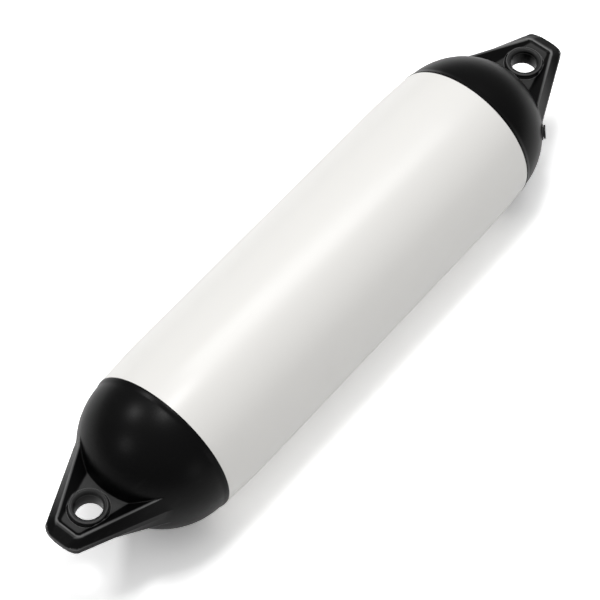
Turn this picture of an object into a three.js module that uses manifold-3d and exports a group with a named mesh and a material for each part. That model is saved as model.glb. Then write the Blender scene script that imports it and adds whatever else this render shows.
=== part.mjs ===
// An inflatable cylindrical boat fender: a smooth tube lying on its side, closed at each end
// by a moulded domed cap that runs out into a flat pocketed ear with an eye for the rope.
// Millimetres, +X along the fender towards the valve end, +Z up, origin under the middle
// of the fender on the surface that it lies on.

import * as THREE from 'three';
import { mergeVertices } from 'three/addons/utils/BufferGeometryUtils.js';
import Module from 'manifold-3d';

const wasm = await Module();
wasm.setup();

// Driving dimensions of the tube
const tubeDiameter = 150;
const tubeLength = 412;
const tubeEndRounding = 2.2;
const restFlatDepth = 0.45; // the soft tube flattens by this much where it lies

// Driving dimensions of the domed caps
const rimRounding = 5;
const domeInset = 3; // the dome starts this far inside the tube's skin
const domeDepth = 73;

// Driving dimensions of the ears, with their heights measured from the ear's own mid-plane
const earLift = 10; // the ears lie this far above the fender's axis
const earTipLength = 37.8; // from the middle of the eye to the ear's tip
const earTipWidth = 32;
const earTipRounding = 5;
const earRootInset = 23; // the ear's edge leaves the dome this far before the dome's end
const earBury = 20; // the ear runs on into the dome by this much
const edgeThickness = 6;
const crestInset = 11; // from the ear's tip back to the crest of its rim
const crestTipWidth = 25.8;
const crestTipHeight = 8.2;
const crestRootHeight = 17;
const crestRounding = 1.5;
const crestLand = 2.2;
const webThickness = 12.4;
const pocketRootInset = 5.5; // the pocket's floor meets the dome this far before the dome's end
const pocketTipInset = 4; // from the rim's crest to the end of the pocket's floor
const pocketTipWidth = 19;
const pocketCornerRounding = 1.5;

// Driving dimensions of the eyes
const eyeDomeGap = 1.5; // between the dome's end and the ring round the eye
const eyeWaistDiameter = 22.8;
const eyeMouthDiameter = 25.4;
const eyeBossDiameter = 33.4;
const eyeBossHeight = 21;
const eyeBossRounding = 1.4;
const eyeMouthRounding = 0.9;

// Driving dimensions of the inflation valve
const valveRootGap = 5; // from the middle of the valve to where the ear's edge leaves the dome
const valveRise = 8; // degrees round the fender, above its axis
const valvePadDiameter = 15;
const valvePadHeight = 0.7;
const valvePadBury = 1; // the pad runs on into the dome, past the bottom of the valve's hole
const valveFlangeDiameter = 12.6;
const valveFlangeThickness = 1.8;
const valveFlangeChamfer = 0.5;
const valveShankDiameter = 8.8;
const valveShankLength = 9;
const plugHeadDiameter = 7.2;
const plugHeadThickness = 1.3;
const plugShankDiameter = 4.4;
const plugShankLength = 8;
const plugSlotWidth = 1.1;
const plugSlotDepth = 0.8;
const fitClearance = 0.3;

const cutOvershoot = 1; // a cut runs this far past the face that it opens

// How finely the round forms are divided
const tubeSides = 96;
const domeSides = 64;
const domeSteps = 16;
const eyeSides = 36;
const valveSides = 32;
const cornerSteps = 5;

const tubeRadius = tubeDiameter / 2;
const axisHeight = tubeRadius - restFlatDepth;
const rimRadius = tubeRadius - tubeEndRounding; // the cap's rim covers the tube's flat end
const domeRadius = tubeRadius - domeInset;
const webHalf = webThickness / 2;
const edgeHalf = edgeThickness / 2;

// Radius of the dome at a reach from the seam, and its half width at a height off the axis
function domeRadiusAt(reach) {
  return domeRadius * Math.sqrt(Math.max(0, 1 - (reach / domeDepth) ** 2));
}

function domeHalfWidthAt(reach, height) {
  return Math.sqrt(domeRadiusAt(reach) ** 2 - height ** 2);
}

// Solids from closed three.js geometry, and back
function solid(geometry) {
  const bare = geometry.clone();
  bare.deleteAttribute('normal');
  bare.deleteAttribute('uv');
  const merged = mergeVertices(bare, 1e-4);
  return new wasm.Manifold(new wasm.Mesh({
    numProp: 3,
    vertProperties: new Float32Array(merged.attributes.position.array),
    triVerts: new Uint32Array(merged.index.array),
  }));
}

function geometryOf(manifold) {
  const mesh = manifold.getMesh();
  const geometry = new THREE.BufferGeometry();
  geometry.setAttribute('position', new THREE.BufferAttribute(new Float32Array(mesh.vertProperties), 3));
  geometry.setIndex(new THREE.BufferAttribute(new Uint32Array(mesh.triVerts), 1));
  return geometry;
}

// A body turned about the X axis from [reach, radius] points that run from axis to axis
function turnedAboutX(points, sides) {
  const profile = points.map(([reach, radius]) => new THREE.Vector2(Math.max(0, radius), reach));
  return new THREE.LatheGeometry(profile, sides).rotateZ(-Math.PI / 2);
}

// A ring turned about the Z axis from [radius, height] points that close on themselves
function turnedRing(points, sides) {
  const profile = [...points, points[0]].map(([radius, height]) => new THREE.Vector2(radius, height));
  return new THREE.LatheGeometry(profile, sides).rotateX(Math.PI / 2);
}

// A cylinder about the Z axis
function upright(radius, bottom, top, sides) {
  return new THREE.CylinderGeometry(radius, radius, top - bottom, sides)
    .rotateX(Math.PI / 2)
    .translate(0, 0, (top + bottom) / 2);
}

// A rounding between two angles, in degrees
function arc(centreX, centreY, radius, fromDegrees, toDegrees, steps) {
  const points = [];
  for (let i = 0; i <= steps; i++) {
    const angle = THREE.MathUtils.degToRad(THREE.MathUtils.lerp(fromDegrees, toDegrees, i / steps));
    points.push([centreX + radius * Math.cos(angle), centreY + radius * Math.sin(angle)]);
  }
  return points;
}

// A closed body that joins rings of equally many points, each ring counterclockwise from above
function loft(rings) {
  const count = rings[0].length;
  const positions = rings.flat().flatMap((point) => point.toArray());
  const index = [];
  for (let r = 0; r + 1 < rings.length; r++) {
    for (let i = 0; i < count; i++) {
      const a = r * count + i;
      const b = r * count + (i + 1) % count;
      index.push(a, b, b + count, a, b + count, a + count);
    }
  }
  const top = (rings.length - 1) * count;
  for (let i = 1; i + 1 < count; i++) {
    index.push(0, i + 1, i, top, top + i, top + i + 1);
  }
  const geometry = new THREE.BufferGeometry();
  geometry.setAttribute('position', new THREE.Float32BufferAttribute(positions, 3));
  geometry.setIndex(index);
  return geometry;
}

// The plan of an ear: straight flanks from a buried root to a tip with rounded corners.
// The flank passes through rootHalf at rootReach, and the plan starts at startReach.
function earPlan({ startReach, rootReach, rootHalf, tipReach, tipHalf, rounding }) {
  const slope = (rootHalf - tipHalf) / (tipReach - rootReach);
  const halfAt = (reach) => tipHalf + slope * (tipReach - reach);
  const flankAngle = Math.atan(slope);
  const tangent = rounding * Math.tan((Math.PI / 2 - flankAngle) / 2);
  const flankNormal = 90 - THREE.MathUtils.radToDeg(flankAngle);
  const corner = arc(tipReach - rounding, tipHalf - tangent, rounding, 0, flankNormal, cornerSteps);
  const left = corner.map(([reach, half]) => new THREE.Vector2(reach, half));
  const right = corner.map(([reach, half]) => new THREE.Vector2(reach, -half)).reverse();
  return [
    new THREE.Vector2(startReach, -halfAt(startReach)),
    ...right,
    ...left,
    new THREE.Vector2(startReach, halfAt(startReach)),
  ];
}

function atHeight(plan, heightAt) {
  return plan.map((point) => new THREE.Vector3(point.x, point.y, heightAt(point.x)));
}

// The ear with its pockets, and the eye through it: +X out from the seam, +Z off the ear's
// mid-plane. An upper face has side 1 and a lower face has side -1.
const eyeReach = domeDepth + eyeDomeGap + eyeBossDiameter / 2;
const earReach = eyeReach + earTipLength;
const earRootReach = domeDepth - earRootInset;
const buriedReach = earRootReach - earBury;
const pocketRootReach = domeDepth - pocketRootInset;
const crestReach = earReach - crestInset;
const crestSlope = (crestRootHeight - crestTipHeight) / (crestReach - earRootReach);

function crestHeightAt(reach) {
  return crestTipHeight + crestSlope * (crestReach - reach);
}

function crestRootHalf(side) {
  return domeHalfWidthAt(earRootReach, earLift + side * crestRootHeight);
}

function crestPlan(side) {
  return earPlan({
    startReach: buriedReach,
    rootReach: earRootReach,
    rootHalf: crestRootHalf(side),
    tipReach: crestReach,
    tipHalf: crestTipWidth / 2,
    rounding: crestRounding,
  });
}

function earBlank() {
  const edge = earPlan({
    startReach: buriedReach,
    rootReach: earRootReach,
    rootHalf: domeHalfWidthAt(earRootReach, earLift),
    tipReach: earReach,
    tipHalf: earTipWidth / 2,
    rounding: earTipRounding,
  });
  return solid(loft([
    atHeight(crestPlan(-1), (reach) => -crestHeightAt(reach)),
    atHeight(edge, () => -edgeHalf),
    atHeight(edge, () => edgeHalf),
    atHeight(crestPlan(1), crestHeightAt),
  ]));
}

// The pocket in one face, as it lies when that face is up
function earPocket(side) {
  const floor = earPlan({
    startReach: buriedReach,
    rootReach: pocketRootReach,
    rootHalf: domeHalfWidthAt(pocketRootReach, earLift + side * webHalf),
    tipReach: crestReach - pocketTipInset,
    tipHalf: pocketTipWidth / 2,
    rounding: pocketCornerRounding,
  });
  const mouth = earPlan({
    startReach: buriedReach,
    rootReach: earRootReach,
    rootHalf: crestRootHalf(side) - crestLand,
    tipReach: crestReach - crestLand,
    tipHalf: crestTipWidth / 2 - crestLand,
    rounding: crestRounding,
  });
  const bottom = atHeight(floor, () => webHalf);
  const brim = atHeight(mouth, crestHeightAt);
  const above = brim.map((point, i) => point.clone().lerp(bottom[i], -cutOvershoot / 2));
  return solid(loft([bottom, above]));
}

function eyeRing() {
  const waist = eyeWaistDiameter / 2;
  const mouth = eyeMouthDiameter / 2;
  const outer = eyeBossDiameter / 2;
  const top = eyeBossHeight / 2;
  const upper = [
    ...arc(outer - eyeBossRounding, top - eyeBossRounding, eyeBossRounding, 0, 90, cornerSteps),
    ...arc(mouth + eyeMouthRounding, top - eyeMouthRounding, eyeMouthRounding, 90, 180, cornerSteps),
  ];
  const lower = upper.map(([radius, height]) => [radius, -height]).reverse();
  return solid(turnedRing([...upper, [waist, 0], ...lower], eyeSides)).translate([eyeReach, 0, 0]);
}

function ear() {
  const clearingRadius = (eyeMouthDiameter + eyeBossDiameter) / 4;
  const clearing = upright(clearingRadius, -crestRootHeight, crestRootHeight, eyeSides)
    .translate(eyeReach, 0, 0);
  return earBlank()
    .subtract(earPocket(1))
    .subtract(earPocket(-1).rotate([180, 0, 0]))
    .subtract(solid(clearing))
    .add(eyeRing());
}

// The domed cap: a rounded rim at the seam, then half an ellipsoid
function dome() {
  const rimEnd = Math.asin(1 - (rimRadius - domeRadius) / rimRounding);
  const rimEndDegrees = THREE.MathUtils.radToDeg(rimEnd);
  const rim = arc(0, rimRadius - rimRounding, rimRounding, 90, rimEndDegrees, cornerSteps);
  const shellStart = Math.asin(rimRounding * Math.cos(rimEnd) / domeDepth);
  const shell = [];
  for (let i = 1; i <= domeSteps; i++) {
    const reach = domeDepth * Math.sin(THREE.MathUtils.lerp(shellStart, Math.PI / 2, i / domeSteps));
    shell.push([reach, domeRadiusAt(reach)]);
  }
  return solid(turnedAboutX([[0, 0], ...rim, ...shell], domeSides));
}

// Where the valve stands on the dome, with its own +Z along the outward normal
function placeOnDome(reach, riseDegrees) {
  const rise = THREE.MathUtils.degToRad(riseDegrees);
  const along = new THREE.Vector3(1, 0, 0);
  const outward = new THREE.Vector3(0, -Math.cos(rise), Math.sin(rise));
  const radius = domeRadiusAt(reach);
  const normal = along.clone().multiplyScalar(reach / domeDepth ** 2)
    .addScaledVector(outward, radius / domeRadius ** 2)
    .normalize();
  const place = new THREE.Object3D();
  place.position.copy(along).multiplyScalar(reach).addScaledVector(outward, radius);
  place.quaternion.setFromUnitVectors(new THREE.Vector3(0, 0, 1), normal);
  place.updateMatrix();
  return place;
}

const valvePlace = placeOnDome(earRootReach - valveRootGap, valveRise);
const valveSeat = valvePadHeight;
const valveHoleBottom = valveSeat - valveShankLength - fitClearance;
const bushBottom = valveSeat + fitClearance - valveShankLength;
const bushTop = valveSeat + fitClearance + valveFlangeThickness;
const plugHeadSeat = bushTop - plugHeadThickness;

function onDome(geometry) {
  return solid(geometry.applyMatrix4(valvePlace.matrix));
}

function valvePad() {
  return onDome(upright(valvePadDiameter / 2, valveHoleBottom - valvePadBury, valveSeat, valveSides));
}

function valveHole() {
  const radius = valveShankDiameter / 2 + fitClearance;
  return onDome(upright(radius, valveHoleBottom, valveSeat + cutOvershoot, valveSides));
}

// A flanged bush with a counterbore for the head of the plug
function valveBush() {
  const bore = plugShankDiameter / 2 + fitClearance;
  const counterbore = plugHeadDiameter / 2 + fitClearance;
  const counterboreFloor = plugHeadSeat - fitClearance;
  const flange = valveFlangeDiameter / 2;
  return turnedRing([
    [bore, bushBottom],
    [valveShankDiameter / 2, bushBottom],
    [valveShankDiameter / 2, valveSeat + fitClearance],
    [flange, valveSeat + fitClearance],
    [flange, bushTop - valveFlangeChamfer],
    [flange - valveFlangeChamfer, bushTop],
    [counterbore, bushTop],
    [counterbore, counterboreFloor],
    [bore, counterboreFloor],
  ], valveSides);
}

// The slotted plug that closes the valve
function valvePlug() {
  const headMiddle = (plugHeadSeat + bushTop) / 2;
  const head = upright(plugHeadDiameter / 2, plugHeadSeat, bushTop, valveSides);
  const shank = upright(plugShankDiameter / 2, plugHeadSeat - plugShankLength, headMiddle, valveSides);
  const slot = new THREE.BoxGeometry(2 * plugHeadDiameter, plugSlotWidth, 2 * plugSlotDepth)
    .translate(0, 0, bushTop);
  return geometryOf(solid(head).add(solid(shank)).subtract(solid(slot)));
}

// The tube: a round bar with rounded ends and a narrow flat along its underside
function tube() {
  const end = tubeLength / 2;
  const roundingReach = end - tubeEndRounding;
  const bar = solid(turnedAboutX([
    [-end, 0],
    ...arc(-roundingReach, rimRadius, tubeEndRounding, 180, 90, cornerSteps),
    ...arc(roundingReach, rimRadius, tubeEndRounding, 90, 0, cornerSteps),
    [end, 0],
  ], tubeSides));
  const ground = new THREE.BoxGeometry(2 * tubeLength, tubeDiameter, tubeRadius)
    .translate(0, 0, -axisHeight - tubeRadius / 2);
  return geometryOf(bar.subtract(solid(ground)));
}

// Materials
const whiteVinyl = new THREE.MeshStandardMaterial({ color: 0xf1f2ee, roughness: 0.3, metalness: 0 });
const blackVinyl = new THREE.MeshStandardMaterial({ color: 0x0d0d0e, roughness: 0.32, metalness: 0 });
const blackNylon = new THREE.MeshStandardMaterial({ color: 0x161617, roughness: 0.45, metalness: 0 });

function part(name, geometry, material) {
  const mesh = new THREE.Mesh(geometry, material);
  mesh.name = name;
  mesh.geometry.computeVertexNormals();
  return mesh;
}

// The fender, put together on its axis and lifted to lie on the ground
const plainCap = dome().add(ear().translate([0, 0, earLift]));
const valveCap = plainCap.add(valvePad()).subtract(valveHole());

const plainEnd = new THREE.Group();
plainEnd.position.x = -tubeLength / 2;
plainEnd.rotation.z = Math.PI;
plainEnd.add(part('plain_end_cap', geometryOf(plainCap), blackVinyl));

const valve = new THREE.Group();
valve.position.copy(valvePlace.position);
valve.quaternion.copy(valvePlace.quaternion);
valve.add(part('valve_bush', valveBush(), blackNylon));
valve.add(part('valve_plug', valvePlug(), blackNylon));

const valveEnd = new THREE.Group();
valveEnd.position.x = tubeLength / 2;
valveEnd.add(part('valve_end_cap', geometryOf(valveCap), blackVinyl), valve);

const fender = new THREE.Group();
fender.position.z = axisHeight;
fender.add(part('body_tube', tube(), whiteVinyl), plainEnd, valveEnd);

export default fender;
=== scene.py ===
# %% [markdown]
# # An inflatable boat fender
# A fender hangs over the side of a boat and keeps its hull off the dock. This one is a white vinyl
# tube, blown up like a tyre, with a black moulded cap on each end. Each cap runs out into a flat
# ear with an eye for the rope, and one cap carries the valve. The measured model comes first.
# Everything below is made around it, in metres, in its own frame: +X along the fender towards the
# valve, +Z up, and the ground at zero.

# %% Load the measured model
import math

import bmesh
import bpy
import numpy as np
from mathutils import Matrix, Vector


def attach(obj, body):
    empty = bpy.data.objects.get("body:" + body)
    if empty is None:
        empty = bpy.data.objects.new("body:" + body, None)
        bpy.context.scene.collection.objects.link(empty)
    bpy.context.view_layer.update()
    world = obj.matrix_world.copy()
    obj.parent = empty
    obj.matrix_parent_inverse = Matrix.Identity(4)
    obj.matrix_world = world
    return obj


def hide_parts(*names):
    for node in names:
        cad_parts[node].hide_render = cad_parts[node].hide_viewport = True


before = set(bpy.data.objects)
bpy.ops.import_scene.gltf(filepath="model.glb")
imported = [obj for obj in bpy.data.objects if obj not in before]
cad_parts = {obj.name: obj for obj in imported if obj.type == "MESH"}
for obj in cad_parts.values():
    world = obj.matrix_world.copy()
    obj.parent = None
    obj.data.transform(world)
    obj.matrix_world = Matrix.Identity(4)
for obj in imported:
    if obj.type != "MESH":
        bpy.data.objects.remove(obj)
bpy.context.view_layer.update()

# %% [markdown]
# ## Sizes
# The maker of the mould works in millimetres, so the sizes here do too. They are the sizes of the
# measured model, and a few more for the soft roundings that a mould gives and that the measured
# model leaves out. A mesh is turned into metres only when it is handed to Blender.

# %% Sizes in millimetres
MM = 0.001
TUBE_RADIUS = 75.0
TUBE_HALF = 206.0  # half of the tube's length, from the middle to a seam
TUBE_END_ROUNDING = 2.2
REST_FLAT = 0.45  # the soft tube flattens by this much where it lies
AXIS_HEIGHT = TUBE_RADIUS - REST_FLAT

RIM_RADIUS = TUBE_RADIUS - TUBE_END_ROUNDING
RIM_ROUNDING = 5.0
DOME_RADIUS = 72.0
DOME_DEPTH = 73.0

EYE_REACH = 91.2  # reaches are measured from the seam
EYE_WAIST = 11.4
EYE_MOUTH = 12.7
EYE_BOSS = 16.7
EYE_TOP = 10.5

EAR_LIFT = 10.0  # the ears lie this far above the axis, and their heights are measured from there
EAR_REACH = 129.0
EAR_TIP_HALF = 16.0
EAR_ROOT_REACH = 50.0
EAR_BURIED_REACH = 30.0  # the ear starts inside the dome
EDGE_HALF = 3.0
CREST_REACH = 118.0
CREST_TIP_HALF = 12.9
CREST_TIP_HEIGHT = 8.2
CREST_ROOT_HEIGHT = 17.0
CREST_LAND = 1.1  # half of the measured model's, because its flat land is a round ridge here
WEB_HALF = 6.2
POCKET_ROOT_REACH = 67.5
POCKET_TIP_REACH = 114.0
POCKET_TIP_HALF = 9.5
print("overall length", 2 * (TUBE_HALF + EAR_REACH), "mm, diameter", 2 * TUBE_RADIUS, "mm")

# %% [markdown]
# ## Camera
# The photograph was taken from above the near end with a long lens, so the tube's sides stay
# almost parallel. The camera is put where the tube's edges, its two seams and the domes fall on
# the same pixels as in the photograph. It is made before the pieces. The places of the lamps that
# show as highlights were found from where it stands.

# %% Camera
LENS_MM = 153.1
CAMERA_AT = Vector((-0.9488, -0.7592, 1.9360))
CAMERA_AIM = Vector((-0.0233, 0.0015, 0.0745))

camera_data = bpy.data.cameras.new("photo_camera")
camera_data.sensor_width = 36.0
camera_data.lens = LENS_MM
camera_data.clip_end = 50.0
camera = bpy.data.objects.new("photo_camera", camera_data)
camera.location = CAMERA_AT
camera.rotation_mode = "QUATERNION"
camera.rotation_quaternion = (CAMERA_AIM - CAMERA_AT).to_track_quat("-Z", "Y")
bpy.context.scene.collection.objects.link(camera)
bpy.context.scene.camera = camera
bpy.context.scene.view_settings.view_transform = "Standard"
print("camera", [round(v, 3) for v in camera.location], "lens", LENS_MM)

# %% [markdown]
# ## Floor and light
# The fender lies on a white sweep under softboxes. In the photograph the sweep is pure white
# almost up to the tube, with only a short soft shadow. A floor that is lit like the fender would
# come out pale grey, so the camera sees a paler paint on it than the light does.

# %% A small helper for node trees
def add_node(tree, kind, at, **settings):
    node = tree.nodes.new(kind)
    node.location = at
    for name, value in settings.items():
        setattr(node, name, value)
    return node


print("node helpers ready")

# %% [markdown]
# ### The floor
# One large plane with a matt white paint. For the camera its colour is above white, so it comes
# out white wherever a little more than half of the light falls, and only the deep shadow shows. In
# reflections it is just white, and it gives the fender as much light as plain white paint does.

# %% Floor
FLOOR_HALF = 4.0  # metres
FLOOR_WHITE = 0.9
FLOOR_REFLECTED = 1.0
FLOOR_SEEN = 1.7

floor_paint = bpy.data.materials.new("white_sweep")
floor_paint.use_nodes = True
tree = floor_paint.node_tree
tree.nodes.clear()
output = add_node(tree, "ShaderNodeOutputMaterial", (700, 0))
white_paint = add_node(tree, "ShaderNodeBsdfDiffuse", (500, 0))
path = add_node(tree, "ShaderNodeLightPath", (-500, 0))
mirrored = add_node(tree, "ShaderNodeMath", (-300, -100), operation="MAXIMUM")
in_mirror = add_node(tree, "ShaderNodeMapRange", (-100, -100))
in_mirror.inputs["To Min"].default_value = FLOOR_WHITE
in_mirror.inputs["To Max"].default_value = FLOOR_REFLECTED
in_view = add_node(tree, "ShaderNodeMix", (200, 0))
in_view.inputs["B"].default_value = FLOOR_SEEN
tree.links.new(path.outputs["Is Glossy Ray"], mirrored.inputs[0])
tree.links.new(path.outputs["Is Transmission Ray"], mirrored.inputs[1])
tree.links.new(mirrored.outputs[0], in_mirror.inputs["Value"])
tree.links.new(path.outputs["Is Camera Ray"], in_view.inputs["Factor"])
tree.links.new(in_mirror.outputs["Result"], in_view.inputs["A"])
tree.links.new(in_view.outputs["Result"], white_paint.inputs["Color"])
tree.links.new(white_paint.outputs[0], output.inputs["Surface"])

floor_mesh = bpy.data.meshes.new("floor")
corners = [(-FLOOR_HALF, -FLOOR_HALF, 0), (FLOOR_HALF, -FLOOR_HALF, 0),
           (FLOOR_HALF, FLOOR_HALF, 0), (-FLOOR_HALF, FLOOR_HALF, 0)]
floor_mesh.from_pydata(corners, [], [(0, 1, 2, 3)])
floor = bpy.data.objects.new("floor", floor_mesh)
floor.data.materials.append(floor_paint)
bpy.context.scene.collection.objects.link(floor)
print("floor", 2 * FLOOR_HALF, "m square")

# %% [markdown]
# ### The lamps
# The photograph shows its lamps in the gloss: a narrow streak along the tube, and four soft spots
# on the near dome, two of them faint. Each spot gives the direction of one lamp, by mirroring the
# line of sight at the surface. A long softbox hangs over the far half, and four small ones stand
# above, behind, at the near end and in front. Each faces the middle of the floor.

# %% Lamps
def softbox(name, at, size, watts):
    data = bpy.data.lights.new(name, "AREA")
    data.shape = "RECTANGLE"
    data.size, data.size_y = size
    data.energy = watts
    lamp = bpy.data.objects.new(name, data)
    lamp.location = at
    lamp.rotation_mode = "QUATERNION"
    lamp.rotation_quaternion = (-Vector(at)).to_track_quat("-Z", "Y")
    bpy.context.scene.collection.objects.link(lamp)


LAMPS = (  # name, place and size in metres, and watts
    ("overhead_softbox", (0.70, 0.33, 1.75), (1.1, 0.22), 7.5),
    ("top_softbox", (0.08, 0.09, 1.75), (0.28, 0.28), 6.0),
    ("back_softbox", (-0.49, 1.14, 1.75), (0.28, 0.28), 7.0),
    ("end_softbox", (-1.70, 0.66, 1.34), (0.4, 0.4), 3.0),
    ("front_softbox", (-0.45, -2.20, 0.45), (0.5, 0.5), 1.5),
)
for lamp_facts in LAMPS:
    softbox(*lamp_facts)

# %% [markdown]
# ### The white room
# The rest of the light comes softly from a white room, whose ceiling is lighter than its walls.
# The height of a direction, from 0 at the horizon to 1 straight above, is mapped to a strength.
# The camera itself sees plain white.

# %% The white room
ROOM_LOW = 0.34  # at the horizon and below it
ROOM_HIGH = 0.77  # straight above
ROOM_SEEN = 1.0

room = bpy.data.worlds.new("white_room")
bpy.context.scene.world = room
room.use_nodes = True
tree = room.node_tree
tree.nodes.clear()
output = add_node(tree, "ShaderNodeOutputWorld", (800, 0))
sky = add_node(tree, "ShaderNodeBackground", (600, 0))
direction = add_node(tree, "ShaderNodeTexCoord", (-400, -200))
parts = add_node(tree, "ShaderNodeSeparateXYZ", (-200, -200))
level = add_node(tree, "ShaderNodeMapRange", (100, -200))
level.inputs["To Min"].default_value = ROOM_LOW
level.inputs["To Max"].default_value = ROOM_HIGH
strength = add_node(tree, "ShaderNodeMix", (400, 0))
strength.inputs["B"].default_value = ROOM_SEEN
path = add_node(tree, "ShaderNodeLightPath", (100, 200))
tree.links.new(direction.outputs["Generated"], parts.inputs[0])
tree.links.new(parts.outputs["Z"], level.inputs["Value"])
tree.links.new(level.outputs["Result"], strength.inputs["A"])
tree.links.new(path.outputs["Is Camera Ray"], strength.inputs["Factor"])
tree.links.new(strength.outputs["Result"], sky.inputs["Strength"])
tree.links.new(sky.outputs[0], output.inputs["Surface"])
print("room strength from", ROOM_LOW, "to", ROOM_HIGH)

# %% [markdown]
# ## Finishes
# Blown vinyl has a soft gloss that is never quite even: broad, faint clouds in its roughness, a
# very fine grain left by the mould, and light scuffs. The three finishes share that effect, so it
# is one node group with named inputs. It gives a colour, a roughness and a height, and each
# material keeps its own shader. Three small helpers come first, because such a tree has many
# nodes.

# %% Helpers for a node group
def new_group(name, inputs, outputs):
    group = bpy.data.node_groups.new(name, "ShaderNodeTree")
    for title, kind, value in inputs:
        socket = group.interface.new_socket(name=title, in_out="INPUT", socket_type=kind)
        socket.default_value = value
    for title, kind in outputs:
        group.interface.new_socket(name=title, in_out="OUTPUT", socket_type=kind)
    return group


def math_node(tree, operation, first, second, at):
    node = add_node(tree, "ShaderNodeMath", at, operation=operation)
    for socket, value in zip(node.inputs, (first, second)):
        if isinstance(value, (int, float)):
            socket.default_value = value
        else:
            tree.links.new(value, socket)
    return node.outputs[0]


def noise_node(tree, place, scale, detail, at):
    node = add_node(tree, "ShaderNodeTexNoise", at)
    node.inputs["Detail"].default_value = detail
    tree.links.new(place, node.inputs["Vector"])
    if isinstance(scale, (int, float)):
        node.inputs["Scale"].default_value = scale
    else:
        tree.links.new(scale, node.inputs["Scale"])
    return node.outputs["Fac"]


print("group helpers ready")

# %% [markdown]
# ### The shared vinyl surface: its patterns
# Four noises on Object coordinates make the patterns: broad clouds, the fine grain, long thin
# marks that run along the fender, and patches. The scuffs are the marks that fall inside a patch,
# so they come in groups, as where a fender has rubbed on a dock.

# %% The group's inputs and its patterns
CLOUD_SCALE = 14.0  # in cells per metre
PATCH_SCALE = 9.0
MARK_STRETCH = (9.0, 160.0, 160.0)
MARK_TURN = (0.2, 0.3, 0.5)
MARKS_FROM, MARKS_TO = 0.58, 0.74
PATCHES_FROM, PATCHES_TO = 0.45, 0.65

moulded = new_group("moulded_surface", [
    ("Colour", "NodeSocketColor", (0.5, 0.5, 0.5, 1.0)),
    ("Scuff And Sheen Colour", "NodeSocketColor", (0.6, 0.6, 0.6, 1.0)),
    ("Scuffs", "NodeSocketFloat", 0.2),
    # strength of the painted highlight along the outer edges
    ("Edge Sheen", "NodeSocketFloat", 0.2),
    ("Edge", "NodeSocketFloat", 0.0),
    ("Matt Sheen Colour", "NodeSocketColor", (0.5, 0.5, 0.5, 1.0)),
    ("Matt", "NodeSocketFloat", 0.0),
    ("Roughness", "NodeSocketFloat", 0.35),
    ("Clouds", "NodeSocketFloat", 0.1),
    ("Grain Scale", "NodeSocketFloat", 1500.0),
], [
    ("Colour", "NodeSocketColor"),
    ("Roughness", "NodeSocketFloat"),
    ("Height", "NodeSocketFloat"),
])

tree = moulded
group_in = add_node(tree, "NodeGroupInput", (-1000, 0))
group_out = add_node(tree, "NodeGroupOutput", (1000, 0))
place = add_node(tree, "ShaderNodeTexCoord", (-1000, -400)).outputs["Object"]
stretch = add_node(tree, "ShaderNodeMapping", (-800, -500))
stretch.inputs["Rotation"].default_value = MARK_TURN
stretch.inputs["Scale"].default_value = MARK_STRETCH
tree.links.new(place, stretch.inputs["Vector"])

broad = noise_node(tree, place, CLOUD_SCALE, detail=3.0, at=(-600, 0))
grain = noise_node(tree, place, group_in.outputs["Grain Scale"], detail=2.0, at=(-600, -250))
marks = noise_node(tree, stretch.outputs["Vector"], 1.0, detail=5.0, at=(-600, -500))
patches = noise_node(tree, place, PATCH_SCALE, detail=2.0, at=(-600, -750))

marked = add_node(tree, "ShaderNodeMapRange", (-350, -500))
marked.inputs["From Min"].default_value = MARKS_FROM
marked.inputs["From Max"].default_value = MARKS_TO
tree.links.new(marks, marked.inputs["Value"])
patched = add_node(tree, "ShaderNodeMapRange", (-350, -750))
patched.inputs["From Min"].default_value = PATCHES_FROM
patched.inputs["From Max"].default_value = PATCHES_TO
tree.links.new(patches, patched.inputs["Value"])
scuffs = math_node(
    tree, "MULTIPLY", marked.outputs["Result"], patched.outputs["Result"], (-100, -600))
print("group", moulded.name, "inputs", len(group_in.outputs) - 1)

# %% [markdown]
# ### The shared vinyl surface: its colour, roughness and height
# Scuffs take the scuff colour, and so does a painted highlight along the raised edges. That
# painted highlight is multiplied with the clouds, so it is stronger in some places than in others.
# A matt floor has its own greyer colour, which is a painted sheen, is a little rougher, and has a
# grain three times as deep.

# %% The group's outputs
MATT_DULLING = 0.15
MATT_GRAIN = 2.0  # added to the plain grain's 1

scuffs = math_node(tree, "MULTIPLY", scuffs, group_in.outputs["Scuffs"], (100, -600))
# The edge mask times its strength is a painted highlight along the raised edges, made uneven by
# the clouds; it takes the scuff colour.
edge_sheen = math_node(
    tree, "MULTIPLY", group_in.outputs["Edge"], group_in.outputs["Edge Sheen"], (-100, -350))
edge_sheen = math_node(tree, "MULTIPLY", edge_sheen, broad, (100, -350))
scuffs_and_sheen = math_node(tree, "ADD", scuffs, edge_sheen, (300, -450))
# On a pocket's floor the colour turns to the matt colour, a greyer painted sheen.
base = add_node(tree, "ShaderNodeMix", (350, 300), data_type="RGBA")
tree.links.new(group_in.outputs["Matt"], base.inputs["Factor"])
tree.links.new(group_in.outputs["Colour"], base.inputs[6])
tree.links.new(group_in.outputs["Matt Sheen Colour"], base.inputs[7])
tint = add_node(tree, "ShaderNodeMix", (550, 200), data_type="RGBA")
tree.links.new(scuffs_and_sheen, tint.inputs["Factor"])
tree.links.new(base.outputs[2], tint.inputs[6])
tree.links.new(group_in.outputs["Scuff And Sheen Colour"], tint.inputs[7])
cloud = math_node(tree, "SUBTRACT", broad, 0.5, (-350, 0))
cloud = math_node(tree, "MULTIPLY", cloud, group_in.outputs["Clouds"], (-150, 0))
dulled = math_node(tree, "ADD", group_in.outputs["Roughness"], cloud, (50, 0))
matt_share = math_node(tree, "MULTIPLY", group_in.outputs["Matt"], MATT_DULLING, (50, -150))
dulled = math_node(tree, "ADD", dulled, matt_share, (250, 0))
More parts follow.
